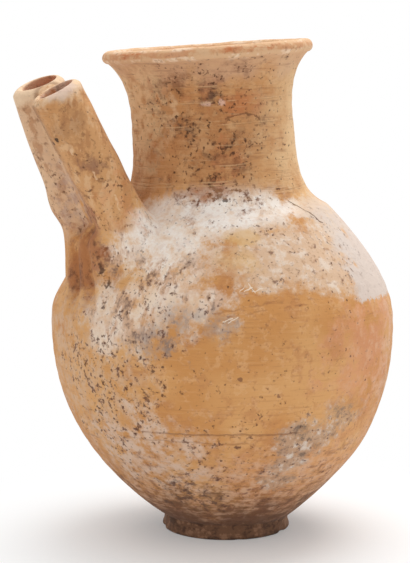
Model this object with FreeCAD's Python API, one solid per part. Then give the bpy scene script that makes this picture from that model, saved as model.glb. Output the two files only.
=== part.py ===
"""A twin-spouted pouring jug of unglazed earthenware, luted together from separately made pieces of clay.

The jug stands on a low foot ring and its two spouts lean out towards -X, one on each side of the XZ plane.
The origin is the centre of the foot ring's resting plane, +Z is up, and lengths are in millimetres.
It is made by hand, so the globe leans a little towards the spouts and the neck leans a little more.
"""
import FreeCAD, Part
import math
import os

from FreeCAD import Placement, Rotation, Vector

# Foot ring: turned, luted under the globe, and the only piece that stands level.
FOOT_RADIUS = 23.9
FOOT_RING_WIDTH = 6.4
FOOT_JOINT_HEIGHT = 5.6
FOOT_EDGE_ROUND = 1.2
FOOT_TAPER = 0.6

# Globe: thrown as a closed belly that narrows to the waist where the neck is set on.
GLOBE_RADIUS = 63.4
GLOBE_WALL = 4.2
GLOBE_FLOOR = 5.8
UNDERSIDE_HEIGHT = 2.6
BELLY_HEIGHT = 78.0
SHOULDER_RADIUS = 41.0
SHOULDER_HEIGHT = 119.4
WAIST_RADIUS = 29.7
WAIST_HEIGHT = 146.0
GLOBE_LEAN = 3.4
GLOBE_LEAN_HEIGHT = 50.0

# Neck: thrown as a collar that flares to the mouth, with a rolled bead of clay round its lip.
NECK_WALL = 4.0
NECK_HEIGHT = 29.6
NECK_FLARE = 6.6
NECK_LEAN = 4.3
LIP_RADIUS = 38.3
LIP_THICKNESS = 4.8
LIP_RISE = 2.3

# Spouts: two tubes rolled round a stick, set over holes pierced through the shoulder.
SPOUT_RADIUS = 9.0
SPOUT_MOUTH_RADIUS = 9.5
SPOUT_ROOT_RADIUS = 11.2
SPOUT_BORE_RADIUS = 5.2
SPOUT_BORE_OFFSET = 0.9
SPOUT_LIP_ROUND = 1.8
SPOUT_ROOT_SPACING = 24.0
SPOUT_MOUTH_SPACING = 17.4
LEFT_SPOUT_HEIGHT = 115.4
LEFT_SPOUT_LENGTH = 58.2
LEFT_SPOUT_LEAN = 28.2
RIGHT_SPOUT_HEIGHT = 112.6
RIGHT_SPOUT_LENGTH = 61.0
RIGHT_SPOUT_LEAN = 22.6

# Luting clay: a web pressed into the grooves between the tubes, and a rib drawn down under them by finger.
WEB_DEPTH = 11.0
WEB_THICKNESS = 12.0
WEB_MOUTH_GAP = 2.6
RIB_TOP_HEIGHT = 109.0
RIB_TOP_REACH = 54.0
RIB_WIDTH = 14.0
RIB_TIP_WIDTH = 3.0
RIB_TIP_SINK = 0.6
# Each stroke of the finger: where it starts and ends along Y, and the height of its tip on the globe.
RIB_STROKES = ((7.5, 2.5, 84.0), (-1.5, -7.5, 88.0), (-9.5, -15.5, 92.0))

# The slope of each outline at its joints, in degrees above the outward horizontal.
UNDERSIDE_ANGLE = 36.0
UPRIGHT = 90.0
SHOULDER_ANGLE = 131.6
NECK_TOP_ANGLE = 42.0
SPOUT_ROOT_ANGLE = 108.0
# How far round under the lip the bead is rounded before it meets the neck's bevel.
LIP_TUCK_ANGLE = 60.0

# How full each outline is: the length of its two tangents as shares of the height that it climbs.
BOWL_FULLNESS = (0.48, 0.42)
SHOULDER_FULLNESS = (0.41, 0.16)
COLLAR_FULLNESS = (0.08, 0.90)
NECK_FULLNESS = (0.19, 0.41)
LIP_FULLNESS = (0.50, 0.50)
SPOUT_FULLNESS = (0.40, 0.40)


def thrown_curve(start, start_angle, end, end_angle, fullness):
    """Smooth outline between two (radius, height) points, as the four poles of a Bezier curve."""
    climb = abs(end[1] - start[1])
    reach_in, reach_out = (share * climb for share in fullness)
    angle_in, angle_out = math.radians(start_angle), math.radians(end_angle)
    pole_in = start[0] + reach_in * math.cos(angle_in), start[1] + reach_in * math.sin(angle_in)
    pole_out = end[0] - reach_out * math.cos(angle_out), end[1] - reach_out * math.sin(angle_out)
    return [start, pole_in, pole_out, end]


def inset_curve(poles, wall):
    """The same outline moved in by a wall, its tangents kept and scaled with its length."""
    start, pole_in, pole_out, end = poles

    def moved(point, tail, head):
        run, climb = head[0] - tail[0], head[1] - tail[1]
        length = math.hypot(run, climb)
        return point[0] - wall * climb / length, point[1] + wall * run / length

    new_start, new_end = moved(start, start, pole_in), moved(end, pole_out, end)
    ratio = math.dist(new_start, new_end) / math.dist(start, end)
    new_in = tuple(new_start[i] + ratio * (pole_in[i] - start[i]) for i in (0, 1))
    new_out = tuple(new_end[i] + ratio * (pole_out[i] - end[i]) for i in (0, 1))
    return [new_start, new_in, new_out, new_end]


def raised(poles, rise):
    return [(radius, height + rise) for radius, height in poles]


def bezier(poles):
    curve = Part.BezierCurve()
    curve.setPoles([Vector(radius, 0, height) for radius, height in poles])
    return curve


def line(start, end):
    return Part.LineSegment(Vector(start[0], 0, start[1]), Vector(end[0], 0, end[1]))


def arc(start, middle, end):
    return Part.Arc(*(Vector(radius, 0, height) for radius, height in (start, middle, end)))


def radius_at(poles, height):
    """Radius of an outline at a height, found by halving the curve's parameter range."""
    curve = bezier(poles)
    low, high = 0.0, 1.0
    for _ in range(50):
        middle = (low + high) / 2
        low, high = (middle, high) if curve.value(middle).z < height else (low, middle)
    return curve.value(low).x


def turned(*curves):
    """Solid of revolution about the Z axis from curves that close an outline in order."""
    outline = Part.Wire([curve.toShape() for curve in curves])
    return Part.Face(outline).revolve(Vector(0, 0, 0), Vector(0, 0, 1), 360).Solids[0]


def placed(shape, frame):
    """Copy of a shape carried from the origin into a frame."""
    copy = shape.copy()
    copy.Placement = frame.multiply(copy.Placement)
    return copy


def leaning(angle):
    return Rotation(Vector(0, 1, 0), -angle)


def along(start, end):
    """Frame at a point with its Z axis towards another point."""
    return Placement(start, Rotation(Vector(0, 0, 1), end - start))


def one_solid(shape):
    """The main solid that a cut leaves, without the crumbs beyond the joint."""
    return max(shape.Solids, key=lambda solid: solid.Volume)


# The globe's outline starts under the middle of the foot ring's wall, so that the ring can be cut to it.
SEAT_RADIUS = FOOT_RADIUS - FOOT_RING_WIDTH / 2
SEAT_HEIGHT = FOOT_JOINT_HEIGHT - FOOT_RING_WIDTH / 2 * math.tan(math.radians(UNDERSIDE_ANGLE))
BOWL = thrown_curve(
    (SEAT_RADIUS, SEAT_HEIGHT), UNDERSIDE_ANGLE, (GLOBE_RADIUS, BELLY_HEIGHT), UPRIGHT, BOWL_FULLNESS
)
SHOULDER = thrown_curve(
    (GLOBE_RADIUS, BELLY_HEIGHT), UPRIGHT, (SHOULDER_RADIUS, SHOULDER_HEIGHT), SHOULDER_ANGLE, SHOULDER_FULLNESS
)
COLLAR = thrown_curve(
    (SHOULDER_RADIUS, SHOULDER_HEIGHT), SHOULDER_ANGLE, (WAIST_RADIUS, WAIST_HEIGHT), UPRIGHT, COLLAR_FULLNESS
)
NECK = thrown_curve(
    (WAIST_RADIUS, 0.0), UPRIGHT, (WAIST_RADIUS + NECK_FLARE, NECK_HEIGHT), NECK_TOP_ANGLE, NECK_FULLNESS
)
GLOBE_FRAME = Placement(Vector(0, 0, 0), leaning(GLOBE_LEAN), Vector(0, 0, GLOBE_LEAN_HEIGHT))
NECK_FRAME = Placement(GLOBE_FRAME.multVec(Vector(0, 0, WAIST_HEIGHT)), leaning(NECK_LEAN))


def turned_globe(base, outlines):
    """Turned solid under a run of outlines, from its flat base to past the waist."""
    edge, top = outlines[0][0], outlines[-1][-1]
    globe = turned(
        line((0, base), (edge[0], base)),
        line((edge[0], base), edge),
        *(bezier(poles) for poles in outlines),
        line(top, (0, top[1])),
        line((0, top[1]), (0, base)),
    )
    return placed(globe, GLOBE_FRAME)


def make_globe_blank():
    """The globe before it is hollowed: what the foot, the spouts and the luting clay are fitted to."""
    return turned_globe(UNDERSIDE_HEIGHT, [BOWL, SHOULDER, COLLAR, raised(NECK, WAIST_HEIGHT)])


def make_globe(blank, bores):
    """Thrown wall and floor, open at the waist and pierced behind each spout."""
    outlines = [BOWL, SHOULDER, COLLAR, raised(NECK, WAIST_HEIGHT)]
    inner = [inset_curve(poles, GLOBE_WALL) for poles in outlines]
    hollow = turned_globe(UNDERSIDE_HEIGHT + GLOBE_FLOOR, inner)
    above_waist = placed(Part.makeCylinder(GLOBE_RADIUS, WAIST_HEIGHT), NECK_FRAME)
    return one_solid(blank.cut([hollow, above_waist, *bores]))


def make_foot_ring(blank):
    """Ring with softened edges, cut away where the globe sits in it."""
    bore, foot = FOOT_RADIUS - FOOT_RING_WIDTH, FOOT_RADIUS
    top = FOOT_JOINT_HEIGHT + FOOT_RING_WIDTH
    soft = FOOT_EDGE_ROUND
    corner = soft * (1 - math.sqrt(0.5))
    ring = turned(
        line((bore + soft, 0), (foot - soft, 0)),
        arc((foot - soft, 0), (foot - corner, corner), (foot, soft)),
        line((foot, soft), (foot - FOOT_TAPER, top)),
        line((foot - FOOT_TAPER, top), (bore, top)),
        line((bore, top), (bore, soft)),
        arc((bore, soft), (bore + corner, corner), (bore + soft, 0)),
    )
    return one_solid(ring.cut(blank))


def make_neck():
    """Collar from the waist to the bevel that carries the lip."""
    inner = inset_curve(NECK, NECK_WALL)
    collar = turned(
        bezier(NECK),
        line(NECK[-1], inner[-1]),
        bezier(inner[::-1]),
        line(inner[0], NECK[0]),
    )
    return placed(collar, NECK_FRAME)


def make_lip():
    """Bead that rolls out from the neck's bevel and back in to the throat."""
    outside, inside = NECK[-1], inset_curve(NECK, NECK_WALL)[-1]
    bead = LIP_THICKNESS / 2
    centre = LIP_RADIUS - bead, outside[1] + LIP_RISE
    tuck = math.radians(LIP_TUCK_ANGLE)
    under = centre[0] + bead * math.cos(tuck), centre[1] - bead * math.sin(tuck)
    crown = centre[0], centre[1] + bead
    roll = thrown_curve(crown, 180, inside, 180 + NECK_TOP_ANGLE, LIP_FULLNESS)
    lip = turned(
        line(outside, under),
        arc(under, (LIP_RADIUS, centre[1]), crown),
        bezier(roll),
        line(inside, outside),
    )
    return placed(lip, NECK_FRAME)


class Spout:
    """Where one spout stands: its root on the shoulder, its mouth, and the frame along it."""

    def __init__(self, side, root_height, length, lean):
        out = side * SPOUT_ROOT_SPACING / 2
        shoulder = radius_at(SHOULDER, root_height)
        self.side = side
        self.length = length
        self.root = GLOBE_FRAME.multVec(Vector(-math.sqrt(shoulder**2 - out**2), out, root_height))
        sideways = side * SPOUT_MOUTH_SPACING / 2 - self.root.y
        run = math.sqrt(length**2 - sideways**2)
        tilt = math.radians(lean)
        self.mouth = self.root + Vector(-run * math.sin(tilt), sideways, run * math.cos(tilt))
        self.frame = along(self.root, self.mouth)

    def tube(self):
        """The tube with no bore, run on into the globe so that it can be cut to the shoulder."""
        bury = SPOUT_ROOT_RADIUS * 2
        shank = self.length / 2
        rim = self.length - SPOUT_LIP_ROUND
        buried = SPOUT_ROOT_RADIUS - bury / math.tan(math.radians(SPOUT_ROOT_ANGLE)), -bury
        inside = SPOUT_BORE_RADIUS - 2 * SPOUT_BORE_OFFSET
        flare = thrown_curve(
            (SPOUT_ROOT_RADIUS, 0.0), SPOUT_ROOT_ANGLE, (SPOUT_RADIUS, shank), UPRIGHT, SPOUT_FULLNESS
        )
        stem = thrown_curve(
            (SPOUT_RADIUS, shank), UPRIGHT, (SPOUT_MOUTH_RADIUS, rim), UPRIGHT, SPOUT_FULLNESS
        )
        tube = turned(
            line((0, -bury), buried),
            line(buried, (SPOUT_ROOT_RADIUS, 0)),
            bezier(flare),
            bezier(stem),
            arc((SPOUT_MOUTH_RADIUS, rim), ((SPOUT_MOUTH_RADIUS + inside) / 2, self.length), (inside, rim)),
            line((inside, rim), (0, rim)),
            line((0, rim), (0, -bury)),
        )
        return placed(tube, self.frame)

    def bore(self):
        """The stick's hole, a little towards the neck from the tube's own line, right through the shoulder."""
        past = SPOUT_ROOT_RADIUS * 2
        start = Vector(SPOUT_BORE_OFFSET, 0, -past)
        return placed(Part.makeCylinder(SPOUT_BORE_RADIUS, self.length + 2 * past, start), self.frame)


def other_side(spout):
    """Block that fills the half of space on the far side of the XZ plane from a spout."""
    reach = 2 * (GLOBE_RADIUS + spout.length)
    corner_y = -reach if spout.side > 0 else 0
    return Part.makeBox(2 * reach, reach, 2 * reach, Vector(-reach, corner_y, -spout.length))


def make_spout(spout, blank):
    """Bored tube, cut to the shoulder and pressed flat against its twin where the two overlap."""
    return one_solid(spout.tube().cut([blank, other_side(spout), spout.bore()]))


def make_web(left, right, blank):
    """Clay pressed into the grooves between the two tubes, from their roots to just short of the mouths."""
    root, mouth = (left.root + right.root) / 2, (left.mouth + right.mouth) / 2
    bury = SPOUT_ROOT_RADIUS
    bar = Part.makeBox(
        WEB_DEPTH,
        WEB_THICKNESS,
        (mouth - root).Length - WEB_MOUTH_GAP + bury,
        Vector(-WEB_DEPTH / 2, -WEB_THICKNESS / 2, -bury),
    )
    return one_solid(placed(bar, along(root, mouth)).cut([left.tube(), right.tube(), blank]))


def make_rib(left, right, blank, web):
    """Strokes of clay that start under the roots and are drawn down to tips on the belly."""
    strokes = []
    for start_y, tip_y, tip_height in RIB_STROKES:
        belly = radius_at(SHOULDER, tip_height)
        start = Vector(-RIB_TOP_REACH, start_y, RIB_TOP_HEIGHT)
        tip = GLOBE_FRAME.multVec(Vector(RIB_TIP_SINK - math.sqrt(belly**2 - tip_y**2), tip_y, tip_height))
        finger = Part.makeCone(RIB_WIDTH / 2, RIB_TIP_WIDTH / 2, (tip - start).Length)
        strokes.append(placed(finger.fuse(Part.makeSphere(RIB_WIDTH / 2)), along(start, tip)))
    rib = strokes[0].fuse(strokes[1:])
    return one_solid(rib.cut([blank, left.tube(), right.tube(), web]))


def make_jug():
    left = Spout(-1, LEFT_SPOUT_HEIGHT, LEFT_SPOUT_LENGTH, LEFT_SPOUT_LEAN)
    right = Spout(1, RIGHT_SPOUT_HEIGHT, RIGHT_SPOUT_LENGTH, RIGHT_SPOUT_LEAN)
    blank = make_globe_blank()
    web = make_web(left, right, blank)
    return {
        "foot_ring": make_foot_ring(blank),
        "globe_body": make_globe(blank, [left.bore(), right.bore()]),
        "neck": make_neck(),
        "lip_bead": make_lip(),
        "left_spout": make_spout(left, blank),
        "right_spout": make_spout(right, blank),
        "spout_web": web,
        "spout_rib": make_rib(left, right, blank, web),
    }


os.makedirs("parts", exist_ok=True)
for name, solid in make_jug().items():
    solid.exportStep(f"parts/{name}.step")
    print(f"{name}: {solid.Volume / 1000:.1f} cm3, valid {solid.isValid()}, closed {solid.isClosed()}")
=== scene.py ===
"""A twin-spouted pouring jug of unglazed clay, with its weathered finish, in a plain studio."""

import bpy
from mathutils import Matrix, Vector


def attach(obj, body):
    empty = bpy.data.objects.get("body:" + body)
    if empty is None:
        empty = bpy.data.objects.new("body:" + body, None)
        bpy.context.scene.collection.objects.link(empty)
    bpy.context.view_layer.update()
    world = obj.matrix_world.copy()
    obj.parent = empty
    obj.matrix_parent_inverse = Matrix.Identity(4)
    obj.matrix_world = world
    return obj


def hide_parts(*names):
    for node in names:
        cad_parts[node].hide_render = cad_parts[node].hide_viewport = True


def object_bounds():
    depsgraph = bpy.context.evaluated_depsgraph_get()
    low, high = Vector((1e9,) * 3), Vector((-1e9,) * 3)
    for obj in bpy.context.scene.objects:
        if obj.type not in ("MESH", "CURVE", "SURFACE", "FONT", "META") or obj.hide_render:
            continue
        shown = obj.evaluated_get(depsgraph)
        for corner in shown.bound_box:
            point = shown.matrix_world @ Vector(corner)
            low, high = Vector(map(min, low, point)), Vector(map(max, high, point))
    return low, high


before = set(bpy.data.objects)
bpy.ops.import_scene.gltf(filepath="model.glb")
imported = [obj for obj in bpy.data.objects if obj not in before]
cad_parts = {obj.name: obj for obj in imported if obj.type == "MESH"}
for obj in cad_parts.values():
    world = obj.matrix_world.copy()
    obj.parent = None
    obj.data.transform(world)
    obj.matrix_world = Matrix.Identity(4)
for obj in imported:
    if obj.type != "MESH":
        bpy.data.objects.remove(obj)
cad_box = [list(corner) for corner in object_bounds()]

import math

import bmesh
import bpy
from mathutils import Matrix, Vector, noise
from mathutils.bvhtree import BVHTree
from mathutils.geometry import interpolate_bezier
from mathutils.kdtree import KDTree

# Globe
# A closed belly of buff clay, thrown on the wheel to a wall of four millimetres and narrowed to a waist.
# It leans towards the spouts, and a hole is pierced through its shoulder behind each of them.
MM = 0.001
SEGMENTS = 320
CREASE = math.radians(35)
FOOT_RADIUS = 23.9
FOOT_RING_WIDTH = 6.4
FOOT_JOINT_HEIGHT = 5.6
UNDERSIDE_ANGLE = 36.0
UNDERSIDE_HEIGHT = 2.6
GLOBE_FLOOR = 5.8
GLOBE_WALL = 4.2
SEAT_RADIUS = FOOT_RADIUS - FOOT_RING_WIDTH / 2
SEAT_HEIGHT = FOOT_JOINT_HEIGHT - FOOT_RING_WIDTH / 2 * math.tan(math.radians(UNDERSIDE_ANGLE))
BELLY = (63.4, 78.0)
SHOULDER_EDGE = (41.0, 119.4)
WAIST = (29.7, 146.0)
UPRIGHT = 90.0
SHOULDER_ANGLE = 131.6
GLOBE_LEAN = 3.4
LEAN_HEIGHT = 50.0
NECK_LEAN = 4.3
COLLAR_TURN_HEIGHT = 130.0
OUTER_STEP = 1.05
INNER_STEP = 3.5


def thrown_curve(start, start_angle, end, end_angle, fullness):
    """Smooth outline between two (radius, height) points, as the four poles of a Bezier curve."""
    climb = abs(end[1] - start[1])
    reach_in, reach_out = (share * climb for share in fullness)
    angle_in, angle_out = math.radians(start_angle), math.radians(end_angle)
    pole_in = start[0] + reach_in * math.cos(angle_in), start[1] + reach_in * math.sin(angle_in)
    pole_out = end[0] - reach_out * math.cos(angle_out), end[1] - reach_out * math.sin(angle_out)
    return [start, pole_in, pole_out, end]


def inset_curve(poles, wall):
    """The same outline moved in by a wall, its tangents kept and scaled with its length."""
    start, pole_in, pole_out, end = (Vector(pole) for pole in poles)
    first, last = (pole_in - start).normalized(), (end - pole_out).normalized()
    new_start = start + wall * Vector((-first.y, first.x))
    new_end = end + wall * Vector((-last.y, last.x))
    ratio = (new_end - new_start).length / (end - start).length
    return [new_start, new_start + ratio * (pole_in - start), new_end + ratio * (pole_out - end), new_end]


def points_along(poles, step):
    """Points of a Bezier outline about a step apart, in the XZ half-plane."""
    start, pole_in, pole_out, end = (Vector((radius, 0, height)) for radius, height in poles)
    around = (pole_in - start).length + (pole_out - pole_in).length + (end - pole_out).length
    length = (around + (end - start).length) / 2
    return interpolate_bezier(start, pole_in, pole_out, end, max(3, round(length / step)))


def points_between(start, end, count):
    """Evenly spaced points of a straight stretch of outline, without its two ends."""
    start, end = Vector((start[0], 0, start[1])), Vector((end[0], 0, end[1]))
    return [start.lerp(end, index / (count + 1)) for index in range(1, count + 1)]


def thrown(points, closed):
    """Spins an outline of points (mm) once round the Z axis into a watertight skin."""
    form = bmesh.new()
    ring = [form.verts.new(point) for point in points]
    lines = [form.edges.new(pair) for pair in zip(ring, ring[1:])]
    if closed:
        lines.append(form.edges.new((ring[-1], ring[0])))
    bmesh.ops.spin(
        form,
        geom=ring + lines,
        cent=(0, 0, 0),
        axis=(0, 0, 1),
        angle=math.tau,
        steps=SEGMENTS,
        use_merge=True,
    )
    bmesh.ops.remove_doubles(form, verts=form.verts, dist=0.0005)
    bmesh.ops.recalc_face_normals(form, faces=form.faces)
    return form


def ease(value, low, high):
    """0 below low, 1 above high, and a smooth rise between them."""
    share = min(1.0, max(0.0, (value - low) / (high - low)))
    return share * share * (3 - 2 * share)


def swell(value, middle, spread):
    """1 at the middle, dying away smoothly on both sides."""
    return math.exp(-(((value - middle) / spread) ** 2))


# What the potter's hands and the kiln do to the true form, in millimetres: broad and small lumps, the
# ridges of the wheel, and a fuller shoulder and bowl. The seed gives the same lumps in every run.
ASIDE = Vector((0.866, -0.5, 0.0))
BROAD_LUMP, BROAD_LUMP_HEIGHT = 46, 0.42
SMALL_LUMP, SMALL_LUMP_HEIGHT = 17, 0.11
RIDGE_PITCH, RIDGE_HEIGHT = 5.3, 0.085
FULL_SHOULDER = (86, 6, 1.0)
FULL_BOWL = (34, 10, 0.75)
RIGID_HEIGHT = 9.0
SOFT_LIMIT = 0.4
LUMP_SEED = 5
noise.seed_set(LUMP_SEED)


def held_in(value, low, high):
    """Eases a coordinate that nears the solid's box, so that it never leaves it."""
    if value > high - SOFT_LIMIT:
        return high - SOFT_LIMIT * math.exp(-(value - high + SOFT_LIMIT) / SOFT_LIMIT)
    if value < low + SOFT_LIMIT:
        return low + SOFT_LIMIT * math.exp((value - low - SOFT_LIMIT) / SOFT_LIMIT)
    return value


def hand_made(point, ridges=1.0):
    """Where the potter's hands and the kiln leave a point (mm) of the true form."""
    outward = Vector((point.x + (point.z - LEAN_HEIGHT) * math.tan(math.radians(GLOBE_LEAN)), point.y, 0))
    radius = outward.length
    outward.normalize()
    loose = ease(point.z, 0.0, RIGID_HEIGHT)
    lumps = noise.noise_vector(point / BROAD_LUMP) * BROAD_LUMP_HEIGHT
    lumps += noise.noise_vector(point / SMALL_LUMP) * SMALL_LUMP_HEIGHT
    turn = math.atan2(outward.y, outward.x) / math.tau
    wave = math.sin(math.tau * (point.z / RIDGE_PITCH + turn + 0.9 * noise.noise(point / 37)))
    depth = 0.5 + noise.noise(point / 26 + Vector((7, 3, 5)))
    ridge = ridges * wave * RIDGE_HEIGHT * depth * ease(radius, 14, 24)
    side = outward.dot(ASIDE)
    fuller = 0.0
    for (height, spread, swelling), facing in ((FULL_SHOULDER, -side), (FULL_BOWL, side)):
        fuller += swelling * swell(point.z, height, spread) * ease(facing, 0.3, 0.9)
    moved = point + loose * (lumps + outward * (ridge + fuller))
    low, high = ([part / MM for part in corner] for corner in cad_box)
    across = held_in(moved.x, low[0], high[0])
    along = held_in(moved.y, low[1], high[1])
    # The top eases in, and the foot stays flat on the floor.
    up = held_in(moved.z, low[2], high[2]) if moved.z > high[2] - SOFT_LIMIT else moved.z
    return Vector((across, along, max(low[2], up)))


def loose_piece(form, name):
    """Makes an object of a form as it is."""
    mesh = bpy.data.meshes.new(name)
    form.to_mesh(mesh)
    form.free()
    piece = bpy.data.objects.new(name, mesh)
    bpy.context.collection.objects.link(piece)
    return piece


def piece_from(form, name):
    """Finishes a form in millimetres as a smooth-shaded piece in metres."""
    for face in form.faces:
        face.smooth = True
    for edge in form.edges:
        edge.smooth = len(edge.link_faces) == 2 and edge.calc_face_angle() < CREASE
    bmesh.ops.scale(form, vec=(MM, MM, MM), verts=form.verts)
    return loose_piece(form, name)


def applied(piece):
    """Turns a piece's modifiers into its mesh."""
    shown = piece.evaluated_get(bpy.context.evaluated_depsgraph_get())
    mesh = bpy.data.meshes.new_from_object(shown)
    piece.modifiers.clear()
    piece.data = mesh
    return mesh


globe_frame = (
    Matrix.Translation((0, 0, LEAN_HEIGHT))
    @ Matrix.Rotation(-math.radians(GLOBE_LEAN), 4, "Y")
    @ Matrix.Translation((0, 0, -LEAN_HEIGHT))
)
neck_frame = Matrix.Translation(globe_frame @ Vector((0, 0, WAIST[1]))) @ Matrix.Rotation(
    -math.radians(NECK_LEAN), 4, "Y"
)


def on_globe(point):
    """A point of the upright globe, leant over; the top of the collar turns on to the neck's line."""
    above = neck_frame @ (point - Vector((0, 0, WAIST[1])))
    return (globe_frame @ point).lerp(above, ease(point.z, COLLAR_TURN_HEIGHT, WAIST[1]))


bowl = thrown_curve((SEAT_RADIUS, SEAT_HEIGHT), UNDERSIDE_ANGLE, BELLY, UPRIGHT, (0.48, 0.42))
shoulder = thrown_curve(BELLY, UPRIGHT, SHOULDER_EDGE, SHOULDER_ANGLE, (0.41, 0.16))
collar = thrown_curve(SHOULDER_EDGE, SHOULDER_ANGLE, WAIST, UPRIGHT, (0.08, 0.90))
floor_height = UNDERSIDE_HEIGHT + GLOBE_FLOOR

globe_outline = [Vector((0, 0, UNDERSIDE_HEIGHT))]
globe_outline += points_between((0, UNDERSIDE_HEIGHT), (SEAT_RADIUS, UNDERSIDE_HEIGHT), 5)
globe_outline.append(Vector((SEAT_RADIUS, 0, UNDERSIDE_HEIGHT)))
for poles in (bowl, shoulder, collar):
    run = points_along(poles, OUTER_STEP)
    globe_outline += run if poles is bowl else run[1:]
inner_outline = []
for poles in (collar, shoulder, bowl):
    run = points_along(inset_curve(poles, GLOBE_WALL), INNER_STEP)[::-1]
    inner_outline += run if poles is collar else run[1:]
inner_outline = [point for point in inner_outline if point.z > floor_height]
globe_outline += points_between(WAIST, (inner_outline[0].x, WAIST[1]), 2) + inner_outline
globe_outline += points_between((inner_outline[-1].x, floor_height), (0, floor_height), 5)
globe_outline.append(Vector((0, 0, floor_height)))

globe_form = thrown(globe_outline, closed=False)
for vert in globe_form.verts:
    vert.co = hand_made(on_globe(vert.co))

# The outer skin of the globe, which the foot, the spouts and the luting clay are fitted to.
globe_form.normal_update()
globe_centre = on_globe(Vector((0, 0, BELLY[1])))
skin_verts = [vert.co.copy() for vert in globe_form.verts]
skin_faces = [
    [vert.index for vert in face.verts]
    for face in globe_form.faces
    if face.normal.dot(face.calc_center_median() - globe_centre) > 0
]
globe_skin = BVHTree.FromPolygons(skin_verts, skin_faces)

# Where each spout's bore goes through the shoulder, and its direction.
LEFT_BORE = (Vector((-45.89, -11.99, 113.17)), Vector((-0.4717, 0.0567, 0.8799)))
RIGHT_BORE = (Vector((-48.11, 11.99, 110.15)), Vector((-0.3838, -0.0541, 0.9219)))
BORES = (LEFT_BORE, RIGHT_BORE)
SPOUT_BORE_RADIUS = 5.2
HOLE_DEPTH = 30.0

hole_form = bmesh.new()
for start, direction in BORES:
    bmesh.ops.create_cone(
        hole_form,
        cap_ends=True,
        segments=64,
        radius1=SPOUT_BORE_RADIUS,
        radius2=SPOUT_BORE_RADIUS,
        depth=HOLE_DEPTH,
        matrix=Matrix.Translation(start) @ direction.to_track_quat("Z", "Y").to_matrix().to_4x4(),
    )
globe = piece_from(globe_form, "thrown_globe")
holes = piece_from(hole_form, "spout_holes")
drill = globe.modifiers.new("spout holes", "BOOLEAN")
drill.operation = "DIFFERENCE"
drill.solver = "EXACT"
drill.object = holes
applied(globe)
bpy.data.objects.remove(holes)


class Shade:
    """One socket among the nodes of a finish. Sums written on it add Math nodes."""

    def __init__(self, nodes, socket):
        self.nodes = nodes
        self.socket = socket

    def math(self, operation, *values):
        return self.nodes.node("ShaderNodeMath", {"operation": operation}, dict(enumerate(values)))

    def __add__(self, other):
        return self.math("ADD", self, other)

    def __sub__(self, other):
        return self.math("SUBTRACT", self, other)

    def __rsub__(self, other):
        return self.math("SUBTRACT", other, self)

    def __mul__(self, other):
        return self.math("MULTIPLY", self, other)

    def __truediv__(self, other):
        return self.math("DIVIDE", self, other)

    def __abs__(self):
        return self.math("ABSOLUTE", self)

    __radd__ = __add__
    __rmul__ = __mul__


class Nodes:
    """The nodes of a material or of the world, as they are added."""

    def __init__(self, tree):
        self.tree = tree
        tree.nodes.clear()

    def node(self, kind, settings, sockets, output=0):
        """Adds any node: its settings first, then the values or links of its sockets."""
        added = self.tree.nodes.new(kind)
        for name, value in settings.items():
            setattr(added, name, value)
        for name, value in sockets.items():
            if isinstance(value, Shade):
                self.tree.links.new(value.socket, added.inputs[name])
            else:
                added.inputs[name].default_value = value
        return Shade(self, added.outputs[output]) if added.outputs else added


# How far the noise texture strays from its middle at one octave.
NOISE_SPREAD = 0.14


class Finish(Nodes):
    """A material under way: its nodes, the place on the object in millimetres, and the layers laid so far."""

    def __init__(self, name):
        self.material = bpy.data.materials.new(name)
        self.material.use_nodes = True
        super().__init__(self.material.node_tree)
        spot = self.node("ShaderNodeTexCoord", {}, {}, "Object")
        self.place = self.vector("SCALE", {0: spot, "Scale": 1 / MM})
        self.x = self.node("ShaderNodeSeparateXYZ", {}, {0: self.place}, "X")
        self.y = self.node("ShaderNodeSeparateXYZ", {}, {0: self.place}, "Y")
        self.z = self.node("ShaderNodeSeparateXYZ", {}, {0: self.place}, "Z")

    def vector(self, operation, sockets, output=0):
        return self.node("ShaderNodeVectorMath", {"operation": operation}, sockets, output)

    def rise(self, value, low, high):
        """0 at low, 1 at high, and a smooth rise between them."""
        sockets = {0: value, 1: low, 2: high, 3: 0.0, 4: 1.0}
        return self.node("ShaderNodeMapRange", {"interpolation_type": "SMOOTHSTEP"}, sockets)

    def cloud(self, size, detail=3, roughness=0.55, stretch=(1, 1, 1), seed=0.0):
        """Noise of about this size in millimetres, longer along the axes that are stretched.

        It is 0 on average and mostly between -1 and 1, whatever its detail.
        """
        octaves = [roughness**octave for octave in range(detail + 1)]
        spread = NOISE_SPREAD * math.sqrt(sum(part * part for part in octaves)) / sum(octaves)
        shrunk = self.vector("MULTIPLY", {0: self.place, 1: [1 / (size * way) for way in stretch]})
        moved = self.vector("ADD", {0: shrunk, 1: (seed, seed * 0.7, seed * 1.3)})
        noise_sockets = {"Vector": moved, "Scale": 1.0, "Detail": detail, "Roughness": roughness}
        return (self.node("ShaderNodeTexNoise", {}, noise_sockets) - 0.5) / spread

    def mix(self, below, above, amount):
        return self.node("ShaderNodeMix", {"data_type": "RGBA"}, {0: amount, 6: below, 7: above}, 2)

    def from_point(self, point):
        """The way from a point to the place on the object."""
        return self.vector("SUBTRACT", {0: self.place, 1: list(point)})

    def along(self, start, direction):
        """Distance in millimetres past a point, along a direction."""
        return self.vector("DOT_PRODUCT", {0: self.from_point(start), 1: list(direction)}, "Value")

    def off_line(self, start, direction):
        """Distance in millimetres from a straight line through a point."""
        across = self.vector("CROSS_PRODUCT", {0: self.from_point(start), 1: list(direction)})
        return self.vector("LENGTH", {0: across}, "Value")

    def away(self, centre, reach):
        """Distance from a point as a share of a reach along each axis."""
        share = self.vector("DIVIDE", {0: self.from_point(centre), 1: list(reach)})
        return self.vector("LENGTH", {0: share}, "Value")

    def lay(self, colour, amount):
        """Lays a colour over what is there, where the amount says."""
        self.colour = self.mix(self.colour, shade(*colour), amount)


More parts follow.
